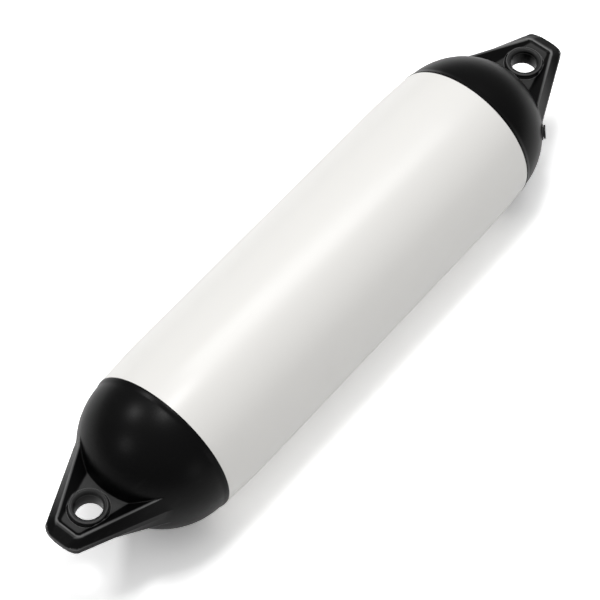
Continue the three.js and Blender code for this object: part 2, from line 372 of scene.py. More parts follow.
deeper = math_node(tree, "MULTIPLY_ADD", group_in.outputs["Matt"], MATT_GRAIN, (350, -800))
deeper.node.inputs[2].default_value = 1.0
grain = math_node(tree, "MULTIPLY", grain, deeper, (550, -700))
tree.links.new(tint.outputs[2], group_out.inputs["Colour"])
tree.links.new(dulled, group_out.inputs["Roughness"])
tree.links.new(grain, group_out.inputs["Height"])
print("nodes in the group", len(tree.nodes))

# %% [markdown]
# ### White vinyl, black vinyl and black nylon
# The tube is warm white vinyl with a soft gloss. The caps are black vinyl, a little duller, and
# their raised edges are painted paler as a painted highlight. The valve is satin nylon. The floors
# of the pockets come out of a rougher part of the mould, so they are matt, and they are painted a
# little greyer as a painted sheen. A piece can carry two attributes for this: edge is 1 on its
# outer edges, and matt is 1 on such a floor.

# %% Three finishes
PLASTIC_IOR = 1.5


def moulded_finish(name, values, grain_depth, specular):
    """A material of the shared surface, whose grain is so many millimetres deep."""
    finish = bpy.data.materials.new(name)
    finish.use_nodes = True
    tree = finish.node_tree
    shader = tree.nodes["Principled BSDF"]
    shader.inputs["IOR"].default_value = PLASTIC_IOR
    shader.inputs["Specular IOR Level"].default_value = specular
    surface = add_node(tree, "ShaderNodeGroup", (-500, 100), node_tree=moulded)
    edge = add_node(tree, "ShaderNodeAttribute", (-800, 0), attribute_name="edge")
    tree.links.new(edge.outputs["Fac"], surface.inputs["Edge"])
    matt = add_node(tree, "ShaderNodeAttribute", (-800, -200), attribute_name="matt")
    tree.links.new(matt.outputs["Fac"], surface.inputs["Matt"])
    for title, value in values.items():
        surface.inputs[title].default_value = value
    bump = add_node(tree, "ShaderNodeBump", (-250, -200))
    bump.inputs["Distance"].default_value = grain_depth * MM
    tree.links.new(surface.outputs["Height"], bump.inputs["Height"])
    tree.links.new(surface.outputs["Colour"], shader.inputs["Base Color"])
    tree.links.new(surface.outputs["Roughness"], shader.inputs["Roughness"])
    tree.links.new(bump.outputs["Normal"], shader.inputs["Normal"])
    return finish


white_vinyl = moulded_finish("white_vinyl", {
    "Colour": (0.81, 0.80, 0.775, 1.0),
    "Scuff And Sheen Colour": (0.63, 0.62, 0.60, 1.0), "Scuffs": 0.05, "Edge Sheen": 0.0,
    "Roughness": 0.31, "Clouds": 0.06, "Grain Scale": 700.0,
}, grain_depth=0.012, specular=0.5)
# The black vinyl's paler edges are a painted highlight, and its greyer matt floors are a painted
# sheen.
black_vinyl = moulded_finish("black_vinyl", {
    "Colour": (0.0010, 0.0010, 0.0011, 1.0), "Matt Sheen Colour": (0.034, 0.034, 0.034, 1.0),
    "Scuff And Sheen Colour": (0.22, 0.22, 0.22, 1.0), "Scuffs": 0.02, "Edge Sheen": 1.4,
    "Roughness": 0.33, "Clouds": 0.10, "Grain Scale": 1100.0,
}, grain_depth=0.03, specular=0.11)
black_nylon = moulded_finish("black_nylon", {
    "Colour": (0.012, 0.012, 0.013, 1.0),
    "Scuff And Sheen Colour": (0.08, 0.08, 0.08, 1.0), "Scuffs": 0.15, "Edge Sheen": 0.5,
    "Roughness": 0.48, "Clouds": 0.12, "Grain Scale": 2200.0,
}, grain_depth=0.03, specular=0.4)
print("finishes", [m.name for m in (white_vinyl, black_vinyl, black_nylon)])

# %% [markdown]
# ## The tube, with Geometry Nodes
# The tube's shape follows one rule: a circle is carried along a straight line, and it shrinks by a
# quarter round at either end, where the skin turns in to the seam. Geometry Nodes say that rule
# directly. The line's points crowd into the two roundings, each point gets its radius, a circle
# follows the line, and the underside is pressed flat where the tube lies. The sizes are inputs, so
# a longer fender is one number away.

# %% Tube tree: the inputs and the line
RINGS = 96
SIDES = 288

tube_tree = bpy.data.node_groups.new("blown_tube", "GeometryNodeTree")
tube_inputs = {
    "Half Length": TUBE_HALF * MM,
    "Radius": TUBE_RADIUS * MM,
    "End Rounding": TUBE_END_ROUNDING * MM,
    "Axis Height": AXIS_HEIGHT * MM,
}
for title, value in tube_inputs.items():
    socket = tube_tree.interface.new_socket(
        name=title, in_out="INPUT", socket_type="NodeSocketFloat")
    socket.default_value = value
for title, value in (("Rings", RINGS), ("Sides", SIDES)):
    socket = tube_tree.interface.new_socket(
        name=title, in_out="INPUT", socket_type="NodeSocketInt")
    socket.default_value = value
tube_tree.interface.new_socket(name="Finish", in_out="INPUT", socket_type="NodeSocketMaterial")
tube_tree.interface.new_socket(name="Geometry", in_out="OUTPUT", socket_type="NodeSocketGeometry")

tree = tube_tree
sizes = add_node(tree, "NodeGroupInput", (-1600, 0)).outputs
line = add_node(tree, "GeometryNodeCurvePrimitiveLine", (-1300, 300))
dense = add_node(tree, "GeometryNodeResampleCurve", (-1100, 300))
tree.links.new(line.outputs["Curve"], dense.inputs["Curve"])
tree.links.new(sizes["Rings"], dense.inputs["Count"])
share = add_node(tree, "GeometryNodeSplineParameter", (-1600, -300)).outputs["Factor"]
print("tube inputs", [s.name for s in sizes if s.name])

# %% [markdown]
# ### The rule for place and radius
# The first and last eighth of the line's points turn through the quarter rounds, and the others
# are spread evenly between. Map Range turns a point's share of the line into those angles.

# %% Tube tree: place and radius of each ring
TURN_SHARE = 0.125


def mapped(tree, value, from_range, to_range, at):
    node = add_node(tree, "ShaderNodeMapRange", at)
    tree.links.new(value, node.inputs["Value"])
    ends = ("From Min", "From Max", "To Min", "To Max")
    for socket, number in zip(ends, (*from_range, *to_range)):
        if isinstance(number, (int, float)):
            node.inputs[socket].default_value = number
        else:
            tree.links.new(number, node.inputs[socket])
    return node.outputs["Result"]


quarter = math.pi / 2
first_turn = mapped(tree, share, (0.0, TURN_SHARE), (0.0, quarter), (-1300, -100))
last_turn = mapped(tree, share, (1.0, 1.0 - TURN_SHARE), (0.0, quarter), (-1300, -400))
flat_end = math_node(tree, "SUBTRACT", sizes["Half Length"], sizes["End Rounding"], (-1300, -700))
flat_start = math_node(tree, "MULTIPLY", flat_end, -1.0, (-1100, -700))
between = mapped(tree, share, (TURN_SHARE, 1.0 - TURN_SHARE), (flat_start, flat_end), (-900, -700))
first_cos = math_node(tree, "COSINE", first_turn, 0.0, (-1100, -100))
last_cos = math_node(tree, "COSINE", last_turn, 0.0, (-1100, -400))
turned_in = math_node(tree, "SUBTRACT", last_cos, first_cos, (-900, -300))
turned_in = math_node(tree, "MULTIPLY", turned_in, sizes["End Rounding"], (-700, -300))
along = math_node(tree, "ADD", between, turned_in, (-500, -500))
first_sin = math_node(tree, "SINE", first_turn, 0.0, (-1100, 50))
last_sin = math_node(tree, "SINE", last_turn, 0.0, (-1100, -250))
swell = math_node(tree, "MULTIPLY", first_sin, last_sin, (-900, 0))
swell = math_node(tree, "SUBTRACT", 1.0, swell, (-700, 0))
shrink = math_node(tree, "MULTIPLY", swell, sizes["End Rounding"], (-500, 0))
ring_radius = math_node(tree, "SUBTRACT", sizes["Radius"], shrink, (-300, 0))
print("nodes in the tube tree so far", len(tree.nodes))

# %% [markdown]
# ### From the line to a closed skin
# Curve to Mesh carries the circle along the line, with its ends filled. The flat underside is made
# by lifting each point that would lie below the ground to it. A smooth maximum is used, because a
# soft skin has no sharp edge where it leaves the ground.

# %% Tube tree: circle, flat underside and finish
FLAT_BLEND = 0.25 * MM  # how softly the skin leaves the ground

ring_place = add_node(tree, "ShaderNodeCombineXYZ", (-300, -400))
tree.links.new(along, ring_place.inputs["X"])
put = add_node(tree, "GeometryNodeSetPosition", (-100, 300))
tree.links.new(dense.outputs["Curve"], put.inputs["Geometry"])
tree.links.new(ring_place.outputs[0], put.inputs["Position"])
circle = add_node(tree, "GeometryNodeCurvePrimitiveCircle", (100, 0))
circle.inputs["Radius"].default_value = 1.0
tree.links.new(sizes["Sides"], circle.inputs["Resolution"])
skin = add_node(tree, "GeometryNodeCurveToMesh", (300, 300))
skin.inputs["Fill Caps"].default_value = True
tree.links.new(put.outputs["Geometry"], skin.inputs["Curve"])
tree.links.new(ring_radius, skin.inputs["Scale"])
tree.links.new(circle.outputs["Curve"], skin.inputs["Profile Curve"])

spot = add_node(tree, "GeometryNodeInputPosition", (100, -300))
parts = add_node(tree, "ShaderNodeSeparateXYZ", (300, -300))
tree.links.new(spot.outputs[0], parts.inputs[0])
lifted = math_node(tree, "ADD", parts.outputs["Z"], sizes["Axis Height"], (500, -300))
pressed = add_node(tree, "ShaderNodeMath", (700, -300), operation="SMOOTH_MAX")
tree.links.new(lifted, pressed.inputs[0])
pressed.inputs[1].default_value = 0.0
pressed.inputs[2].default_value = FLAT_BLEND
joined = add_node(tree, "ShaderNodeCombineXYZ", (900, -300))
tree.links.new(parts.outputs["X"], joined.inputs["X"])
tree.links.new(parts.outputs["Y"], joined.inputs["Y"])
tree.links.new(pressed.outputs[0], joined.inputs["Z"])
laid = add_node(tree, "GeometryNodeSetPosition", (900, 300))
tree.links.new(skin.outputs["Mesh"], laid.inputs["Geometry"])
tree.links.new(joined.outputs[0], laid.inputs["Position"])
smooth = add_node(tree, "GeometryNodeSetShadeSmooth", (1100, 300))
tree.links.new(laid.outputs["Geometry"], smooth.inputs["Geometry"])
real = add_node(tree, "GeometryNodeRealizeInstances", (1300, 300))
tree.links.new(smooth.outputs["Geometry"], real.inputs["Geometry"])
paint = add_node(tree, "GeometryNodeSetMaterial", (1500, 300))
tree.links.new(real.outputs["Geometry"], paint.inputs["Geometry"])
tree.links.new(sizes["Finish"], paint.inputs["Material"])
result = add_node(tree, "NodeGroupOutput", (1700, 300))
tree.links.new(paint.outputs["Geometry"], result.inputs["Geometry"])
print("nodes in the tube tree", len(tree.nodes))

# %% [markdown]
# ### Turning the tree's result into a plain mesh
# A modifier's input is set by the identifier of its socket. The result is then copied into a plain
# mesh on a new object, which rides on the fender's one body and stands for the measured tube.

# %% The tube piece
def plain_mesh(source, name):
    """The evaluated result of an object's modifiers as a new object with a plain mesh."""
    bpy.context.view_layer.update()
    graph = bpy.context.evaluated_depsgraph_get()
    mesh = bpy.data.meshes.new_from_object(source.evaluated_get(graph))
    mesh.name = name
    piece = bpy.data.objects.new(name, mesh)
    bpy.context.scene.collection.objects.link(piece)
    bpy.data.objects.remove(source)
    return piece


def hand_in(piece, node):
    """Lets a finished piece ride on the fender and stand for its measured node."""
    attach(piece, "root")
    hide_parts(node)
    triangles = sum(len(p.vertices) - 2 for p in piece.data.polygons)
    print(piece.name, len(piece.data.vertices), "points", triangles, "triangles")


carrier = bpy.data.objects.new("tube_carrier", bpy.data.meshes.new("tube_carrier"))
bpy.context.scene.collection.objects.link(carrier)
modifier = carrier.modifiers.new("blown_tube", "NODES")
modifier.node_group = tube_tree
identifiers = {item.name: item.identifier for item in tube_tree.interface.items_tree
               if item.in_out == "INPUT"}
for title, value in tube_inputs.items():
    modifier[identifiers[title]] = value
modifier[identifiers["Finish"]] = white_vinyl
tube = plain_mesh(carrier, "tube_skin")
hand_in(tube, "body_tube")

# %% [markdown]
# ## The caps: shape as a field
# A cap is one moulding: dome, ear, pockets and eye ring run into each other through soft fillets.
# Cutting and joining meshes would leave sharp creases, so the cap is described by a field instead:
# a function that says how far a point is outside the material, or inside it when negative. Two
# fields join through a fillet, or cut each other with a rounded edge, by a short formula each.

# %% Joining and cutting fields
def cut_edge(first, second, radius):
    """What lies in both bodies, with the edge between them rounded."""
    outside = np.hypot(np.maximum(first + radius, 0.0), np.maximum(second + radius, 0.0))
    return np.minimum(np.maximum(first, second), -radius) + outside


def fillet(first, second, radius):
    """What lies in either body, with a fillet in the corner between them."""
    return -cut_edge(-first, -second, radius)


print("rounded corner of two walls:", round(float(cut_edge(np.array(0.0), np.array(0.0), 1.0)), 3))

# %% [markdown]
# ### The dome
# Half an ellipsoid, on a rim that is a little wider and turns in with a 5 mm round. The formula
# for the ellipsoid is exact on its skin and a good measure of distance near it.

# %% Field of the dome
RIM_BLEND = 2.0


def dome_field(x, y, z):
    around = np.hypot(y, z)
    reach = np.maximum(x, 0.0)
    scaled = np.hypot(reach / DOME_DEPTH, around / DOME_RADIUS)
    steep = np.hypot(reach / DOME_DEPTH ** 2, around / DOME_RADIUS ** 2)
    shell = scaled * (scaled - 1.0) / np.maximum(steep, 1e-6)
    rim = cut_edge(around - RIM_RADIUS, reach - RIM_ROUNDING, RIM_ROUNDING)
    return fillet(shell, rim, RIM_BLEND)


def dome_half_width(reach, height):
    square = DOME_RADIUS ** 2 * (1.0 - (reach / DOME_DEPTH) ** 2) - height ** 2
    return math.sqrt(square)


root_half_width = dome_half_width(EAR_ROOT_REACH, EAR_LIFT)
print("dome half width at the ear's root", round(root_half_width, 1), "mm")

# %% [markdown]
# ### The ear
# Seen from above, the ear tapers from the dome to a blunt tip. Its outer edge is a thin upright
# band. From there the flanks slope up to a crest, which is low at the tip and grows towards the
# dome. At any height the flank lies between the edge's line and the crest's line. The ear lies a
# little above the fender's axis, so its upper crest meets the dome nearer the middle than its
# lower one. Its corners are round at the edge and sharp at the crest.

# %% Field of the ear's blank
EDGE_CORNER = 5.0
CREST_CORNER = 1.4
CREST_ROUNDING = 0.45
TAPER_SQUARE = 1.2  # 1 and the square of the ear's taper in plan
CREST_SLOPE_COSINE = 0.98


def straight(reach, root_reach, root, tip_reach, tip):
    """A size that changes evenly from the root of the ear to its tip."""
    return root + (tip - root) * (reach - root_reach) / (tip_reach - root_reach)


EDGE_ROOT_HALF = root_half_width
UPPER_ROOT_HALF = dome_half_width(EAR_ROOT_REACH, EAR_LIFT + CREST_ROOT_HEIGHT)
LOWER_ROOT_HALF = dome_half_width(EAR_ROOT_REACH, EAR_LIFT - CREST_ROOT_HEIGHT)


def crest_height(x):
    return straight(x, EAR_ROOT_REACH, CREST_ROOT_HEIGHT, CREST_REACH, CREST_TIP_HEIGHT)


def blank_field(x, y, z):
    across, height = np.abs(y), np.abs(z - EAR_LIFT)
    climb = np.maximum(height - EDGE_HALF, 0.0)
    rise = np.maximum(crest_height(x) - EDGE_HALF, 1.0)
    crest_root = np.where(z > EAR_LIFT, UPPER_ROOT_HALF, LOWER_ROOT_HALF)
    edge_half = straight(x, EAR_ROOT_REACH, EDGE_ROOT_HALF, EAR_REACH, EAR_TIP_HALF)
    crest_half = straight(x, EAR_ROOT_REACH, crest_root, CREST_REACH, CREST_TIP_HALF)
    lean = np.maximum(edge_half - crest_half, 0.0) / rise
    flank = (across - (edge_half - lean * climb)) / np.sqrt(TAPER_SQUARE + lean ** 2)
    tip_lean = (EAR_REACH - CREST_REACH) / (CREST_TIP_HEIGHT - EDGE_HALF)
    tip_slope = np.where(height > EDGE_HALF, math.hypot(1.0, tip_lean), 1.0)
    tip = (x - (EAR_REACH - tip_lean * climb)) / tip_slope
    top = (height - crest_height(x)) * CREST_SLOPE_COSINE
    corner = EDGE_CORNER + (CREST_CORNER - EDGE_CORNER) * np.minimum(climb / rise, 1.0)
    side = cut_edge(flank, tip, corner)
    return np.maximum(cut_edge(side, top, CREST_ROUNDING), EAR_BURIED_REACH - x)


print("crest from", CREST_ROOT_HEIGHT, "mm at the root to", CREST_TIP_HEIGHT, "mm at the tip")

# %% [markdown]
# ### The pockets
# Both faces of the ear are hollowed out, which saves vinyl and lets the moulding cool evenly. A
# pocket has a flat floor and sloping walls that end just inside the crest, and so leave a narrow
# rim. The same rule as for the flanks is used, between the floor's outline and the mouth's. A
# pocket is the space itself, so its field is negative there, and the ear is cut with the field
# reversed.

# %% Field of the pockets
POCKET_CORNER = 1.6
FLOOR_FILLET = 1.1

UPPER_FLOOR_HALF = dome_half_width(POCKET_ROOT_REACH, EAR_LIFT + WEB_HALF)
LOWER_FLOOR_HALF = dome_half_width(POCKET_ROOT_REACH, EAR_LIFT - WEB_HALF)
MOUTH_REACH = CREST_REACH - CREST_LAND
MOUTH_TIP_HALF = CREST_TIP_HALF - CREST_LAND


def pocket_field(x, y, z):
    across, height = np.abs(y), np.abs(z - EAR_LIFT)
    climb = height - WEB_HALF
    floor_root = np.where(z > EAR_LIFT, UPPER_FLOOR_HALF, LOWER_FLOOR_HALF)
    mouth_root = np.where(z > EAR_LIFT, UPPER_ROOT_HALF, LOWER_ROOT_HALF) - CREST_LAND
    share = climb / np.maximum(crest_height(x) - WEB_HALF, 1.0)
    floor_half = straight(x, POCKET_ROOT_REACH, floor_root, POCKET_TIP_REACH, POCKET_TIP_HALF)
    mouth_half = straight(x, EAR_ROOT_REACH, mouth_root, MOUTH_REACH, MOUTH_TIP_HALF)
    wall_lean = (mouth_half - floor_half) / np.maximum(crest_height(x) - WEB_HALF, 1.0)
    wall = across - floor_half - (mouth_half - floor_half) * share
    wall = wall / np.sqrt(TAPER_SQUARE + wall_lean ** 2)
    tip_rise = CREST_TIP_HEIGHT - WEB_HALF
    tip_lean = (MOUTH_REACH - POCKET_TIP_REACH) / tip_rise
    end = (x - (POCKET_TIP_REACH + tip_lean * climb)) / math.hypot(1.0, tip_lean)
    return cut_edge(cut_edge(wall, end, POCKET_CORNER), -climb, FLOOR_FILLET)


print("half width of the upper floor", round(UPPER_FLOOR_HALF, 1), "to", POCKET_TIP_HALF, "mm")

# %% [markdown]
# ### The eye
# A ring stands round the eye and takes the wear of the rope. Its bore is narrowest in the middle
# and opens towards both faces, so the rope bends over a round bead. A fine groove runs round its
# foot. Ear and dome are joined first, then the ring is added, and the groove and the bore are cut
# last.

# %% Field of the cap
EAR_FILLET = 1.0
RING_FILLET = 0.5
RING_ROUNDING = 1.4
BEAD_ROUNDING = 2.2
FLARE_END = 1.2  # the bore stops widening just above the ring, so that it stays clear of the dome
GROOVE_RADIUS = 0.8
GROOVE_OUT = 0.6  # from the ring's side
GROOVE_UP = 0.1  # from the pocket's floor
GROOVE_ROUNDING = 0.2


def ring_fields(x, y, z):
    across = np.hypot(x - EYE_REACH, y)
    height = np.abs(z - EAR_LIFT)
    flare = np.minimum(height / EYE_TOP, FLARE_END) ** 2
    bore = across - (EYE_WAIST + (EYE_MOUTH - EYE_WAIST) * flare)
    ring = cut_edge(across - EYE_BOSS, height - EYE_TOP, RING_ROUNDING)
    from_groove = np.hypot(across - EYE_BOSS - GROOVE_OUT, height - WEB_HALF - GROOVE_UP)
    return ring, bore, from_groove - GROOVE_RADIUS


def cap_field(x, y, z):
    ear = cut_edge(blank_field(x, y, z), -pocket_field(x, y, z), CREST_ROUNDING)
    body = fillet(dome_field(x, y, z), ear, EAR_FILLET)
    ring, bore, groove = ring_fields(x, y, z)
    body = fillet(body, ring, RING_FILLET)
    body = cut_edge(body, -groove, GROOVE_ROUNDING)
    return cut_edge(body, -bore, BEAD_ROUNDING)


places = {"dome": (10, 0, 0), "bore": (90, 0, 9), "tip": (128, 0, 10), "outside": (140, 0, 10)}
for title, place in places.items():
    print("field in", title, round(float(cap_field(*np.array(place, float))), 1))

# %% [markdown]
# ### The valve's seat
# The valve end has a low round pad on the dome, beside the ear's root, with a hole for the valve.
# The valve stands square to the dome, so its axis is the dome's outward normal at that place.

# %% Place of the valve, and the field of its seat
VALVE_REACH = 45.0
VALVE_RISE = math.radians(8.0)
PAD_RADIUS = 7.5
PAD_HEIGHT = 0.7
PAD_ROUNDING = 0.35
PAD_FILLET = 0.6
SHANK_RADIUS = 4.4
SHANK_LENGTH = 9.0
CLEARANCE = 0.3

forward = Vector((VALVE_REACH, 0.0, 0.0))
outward = Vector((0.0, -math.cos(VALVE_RISE), math.sin(VALVE_RISE)))
outward *= dome_half_width(VALVE_REACH, 0.0)
valve_foot = forward + outward
valve_axis = (forward / DOME_DEPTH ** 2 + outward / DOME_RADIUS ** 2).normalized()


def valve_cap_field(x, y, z):
    dx, dy, dz = x - valve_foot.x, y - valve_foot.y, z - valve_foot.z
    up = dx * valve_axis.x + dy * valve_axis.y + dz * valve_axis.z
    off = np.sqrt(np.maximum(dx ** 2 + dy ** 2 + dz ** 2 - up ** 2, 0.0))
    pad = cut_edge(off - PAD_RADIUS, np.abs(up) - PAD_HEIGHT, PAD_ROUNDING)
    depth = SHANK_LENGTH + CLEARANCE - PAD_HEIGHT
    hole = np.maximum(off - SHANK_RADIUS - CLEARANCE, -up - depth)
    return np.maximum(fillet(cap_field(x, y, z), pad, PAD_FILLET), -hole)


print("valve foot", [round(v, 1) for v in valve_foot], "axis", [round(v, 2) for v in valve_axis])

# %% [markdown]
# ### From the field to a mesh
# The field is sampled on a grid that is fine round the ear and coarse on the plain dome. Each grid
# cell that the skin passes through gets one point, and each grid edge that it crosses gets one
# face between the four cells round it. The points are then moved onto the skin by the field's own
# slope, which makes the dome as smooth as its formula, and spread evenly along the skin.

# %% Grid
FINE = 0.65
COARSE = 2.2


def planes(stops):
    """Grid planes from [place, spacing] stops: each spacing holds up to the next place."""
    values = []
    for (start, spacing), (end, _) in zip(stops, stops[1:]):
        count = max(1, round((end - start) / spacing))
        values.extend(start + (end - start) * i / count for i in range(count))
    return np.array(values + [stops[-1][0]])


grid_x = planes([(-0.5, 1.0), (6.5, COARSE), (39.0, FINE), (131.0, FINE)])
grid_y = planes([(-76.0, COARSE), (-63.0, FINE), (57.0, COARSE), (76.0, COARSE)])
grid_z = planes([(-76.0, COARSE), (-10.0, FINE), (30.0, COARSE), (76.0, COARSE)])
print("grid", len(grid_x), "by", len(grid_y), "by", len(grid_z))

# %% [markdown]
# ### Points and faces
# The points are the middles of the places where the skin crosses a cell's edges. Walking along
# each of the three axes finds the grid edges that leave the material or enter it, and the walk's
# direction tells which way round the face has to go, so that it points outwards.

# %% Skin
def skin_of(field):
    """Points and four-sided faces where the field is zero, and which points lie at the seam."""
    values = field(grid_x[:, None, None], grid_y[None, :, None], grid_z[None, None, :])
    inside = values < 0.0
    shape = tuple(n - 1 for n in inside.shape)
    count = np.zeros(shape, int)
    for i, j, k in np.ndindex(2, 2, 2):
        count += inside[i:i + shape[0], j:j + shape[1], k:k + shape[2]]
    cells = np.argwhere((count > 0) & (count < 8))
    number = -np.ones(shape, int)
    number[tuple(cells.T)] = np.arange(len(cells))

    total, hits = np.zeros((len(cells), 3)), np.zeros(len(cells))
    grids = (grid_x, grid_y, grid_z)
    for axis in range(3):
        step = np.eye(3, dtype=int)[axis]
        for i, j in np.ndindex(2, 2):
            start = cells + np.insert([i, j], axis, 0)
            end = start + step
            a, b = values[tuple(start.T)], values[tuple(end.T)]
            crossed = (a < 0.0) != (b < 0.0)
            share = np.where(crossed, a / np.where(crossed, a - b, 1.0), 0.0)
            for n in range(3):
                low, high = grids[n][start[:, n]], grids[n][end[:, n]]
                total[:, n] += np.where(crossed, low + (high - low) * share, 0.0)
            hits += crossed
    points = total / hits[:, None]

    faces = []
    for axis in range(3):
        u, v = (axis + 1) % 3, (axis + 2) % 3
        step = np.eye(3, dtype=int)
        low = tuple(slice(0, -1) if n == axis else slice(1, -1) for n in range(3))
        high = tuple(slice(1, None) if n == axis else slice(1, -1) for n in range(3))
        for leaving in (True, False):
            edges = np.argwhere((inside[low] == leaving) & (inside[high] != leaving))
            edges += step[u] + step[v]
            ring = [edges - step[u] - step[v], edges - step[v], edges, edges - step[u]]
            if not leaving:
                ring.reverse()
            faces.append(np.stack([number[tuple(cell.T)] for cell in ring], 1))
    return points, np.concatenate(faces), cells[:, 0] == 0


print("skin maker ready")

# %% [markdown]
# ### Settling the points
# One step along the slope brings a point most of the way to the skin, so a few steps are enough.
# Between them each point drifts towards its neighbours, which evens out the faces. The points of
# the open ring at the seam stay in the plane of the seam.

# %% Settle and relax
SLOPE_STEP = 0.02
SMALLEST_SQUARE = 0.05  # keeps a step short where the field is almost level
LARGEST_MOVE = 0.6
DRIFT = 0.5


def slope_of(field, points):
    slopes = []
    for axis in range(3):
        shift = np.zeros(3)
        shift[axis] = SLOPE_STEP
        rise = field(*(points + shift).T) - field(*(points - shift).T)
        slopes.append(rise / (2 * SLOPE_STEP))
    return np.stack(slopes, 1)


def settled(field, points, seam, steps):
    for _ in range(steps):
        slope = slope_of(field, points)
        square = np.maximum((slope ** 2).sum(1), SMALLEST_SQUARE)
        move = field(*points.T)[:, None] * slope / square[:, None]
        points = points - np.clip(move, -LARGEST_MOVE, LARGEST_MOVE)
        points[seam, 0] = 0.0
    return points


def relaxed(field, points, faces, seam, rounds):
    first = faces.ravel()
    second = np.roll(faces, -1, 1).ravel()
    degree = np.bincount(np.concatenate([first, second]), minlength=len(points))
    for _ in range(rounds):
        total = np.zeros_like(points)
        np.add.at(total, first, points[second])
        np.add.at(total, second, points[first])
        middle = total / degree[:, None]
        drift = np.where(seam[:, None], 0.0, DRIFT * (middle - points))
        points = settled(field, points + drift, seam, 1)
    return settled(field, points, seam, 2)


print("settling tools ready")

# %% [markdown]
# ### Where the finish changes
# The field also tells where the outer edges that get the painted highlight are: on an outer edge
# it rises to all sides faster than on a flat face. A point is on a pocket's floor if it is at the
# floor's height and the space right above it is the pocket's. Both are kept on the points as
# numbers from 0 to 1.

# %% Masks for the finish
EDGE_PROBE = 0.7
EDGE_GAIN, EDGE_OFFSET = 0.9, 0.15
FLOOR_BAND = 0.3
MATT_INSET, MATT_BLEND = 0.45, 0.35


# This mask places the painted highlight on the outer edges.
def edge_mask(field, points):
    spread = -6.0 * field(*points.T)
    for axis in range(3):
        shift = np.zeros(3)
        shift[axis] = EDGE_PROBE
        spread += field(*(points + shift).T) + field(*(points - shift).T)
    return np.clip(spread / EDGE_PROBE ** 2 * EDGE_GAIN - EDGE_OFFSET, 0.0, 1.0)


# This mask places the painted sheen on the pockets' floors, and also their extra roughness and
# deeper grain.
def matt_mask(points):
    x, y, z = points.T
    from_floor = np.abs(np.abs(z - EAR_LIFT) - WEB_HALF)
    above = pocket_field(x, y, z + np.sign(z - EAR_LIFT))
    level = np.clip(2.0 - from_floor / FLOOR_BAND, 0.0, 1.0)
    return np.clip((-above - MATT_INSET) / MATT_BLEND, 0.0, 1.0) * level


print("masks ready")

# %% [markdown]
# ### Making the two caps
# The skin is open at the seam, where the cap meets the tube, and one flat face closes it there.
# The plain cap is turned by half a turn about the upright axis, so it isn't a mirror image.

# %% The cap pieces
SETTLE_STEPS = 4
RELAX_ROUNDS = 4


def open_ring(faces):
    """The points round the opening, in the order in which one more face closes it."""
    sides = {pair for face in faces for pair in zip(face, face[1:] + face[:1])}
    following = {b: a for a, b in sides if (b, a) not in sides}
    ring = [min(following)]
    while following[ring[-1]] != ring[0]:
        ring.append(following[ring[-1]])
    return ring


def cap_piece(name, field, towards):
    """A cap whose ear points towards +X with 1, or towards -X with -1."""
    points, faces, seam = skin_of(field)
    points = settled(field, points, seam, SETTLE_STEPS)
    points = relaxed(field, points, faces, seam, RELAX_ROUNDS)
    placed = (points + (TUBE_HALF, 0.0, 0.0)) * (towards, towards, 1.0) + (0.0, 0.0, AXIS_HEIGHT)
    mesh = bpy.data.meshes.new(name)
    faces = faces.tolist()
    mesh.from_pydata((placed * MM).tolist(), [], faces + [open_ring(faces)])
    for title, mask in (("edge", edge_mask(field, points)), ("matt", matt_mask(points))):
        attribute = mesh.attributes.new(title, "FLOAT", "POINT")
        attribute.data.foreach_set("value", mask.astype(np.float32))
    mesh.shade_smooth()
    mesh.materials.append(black_vinyl)
    piece = bpy.data.objects.new(name, mesh)
    bpy.context.scene.collection.objects.link(piece)
    return piece


plain_cap = cap_piece("plain_cap", cap_field, -1.0)
hand_in(plain_cap, "plain_end_cap")
valve_cap = cap_piece("valve_cap", valve_cap_field, 1.0)
hand_in(valve_cap, "valve_end_cap")

# %% [markdown]
# ## The valve
# The valve is a flanged nylon bush pressed into the cap, and a slotted plug that closes it. Both
# are turned parts: a profile with softened corners is carried round the valve's axis.

# %% Turning a profile
CORNER_STEPS = 4
TURNED_SIDES = 96


def softened(corners, radius):
    """A closed outline with each corner replaced by a short curve."""
    outline = []
    points = [Vector((a, b)) for a, b in corners]
    neighbours = zip(points[-1:] + points[:-1], points, points[1:] + points[:1])
    for before, corner, after in neighbours:
        start = corner + (before - corner).normalized() * radius
        end = corner + (after - corner).normalized() * radius
        for i in range(CORNER_STEPS + 1):
            t = i / CORNER_STEPS
            outline.append((1 - t) ** 2 * start + 2 * t * (1 - t) * corner + t ** 2 * end)
    return outline


def turned_ring(name, outline):
    """A closed outline of radius and height, carried round the Z axis."""
    points, faces = [], []
    n = len(outline)
    for i in range(TURNED_SIDES):
        angle = 2 * math.pi * i / TURNED_SIDES
        points += [(p.x * math.cos(angle), p.x * math.sin(angle), p.y) for p in outline]
        here, there = i * n, (i + 1) % TURNED_SIDES * n
        for k in range(n):
            after = (k + 1) % n
            faces.append((here + k, there + k, there + after, here + after))
    mesh = bpy.data.meshes.new(name)
    mesh.from_pydata(points, [], faces)
    mesh.shade_smooth()
    piece = bpy.data.objects.new(name, mesh)
    bpy.context.scene.collection.objects.link(piece)
    return piece


print("corners of a softened square:", len(softened([(1, 0), (2, 0), (2, 1), (1, 1)], 0.1)))

# %% [markdown]
# ### The bush
# The bush has a flange that lies on the cap's pad, a shank in the cap's hole, and a counterbore
# for the plug's head. It is made about the Z axis and then stood on the cap.

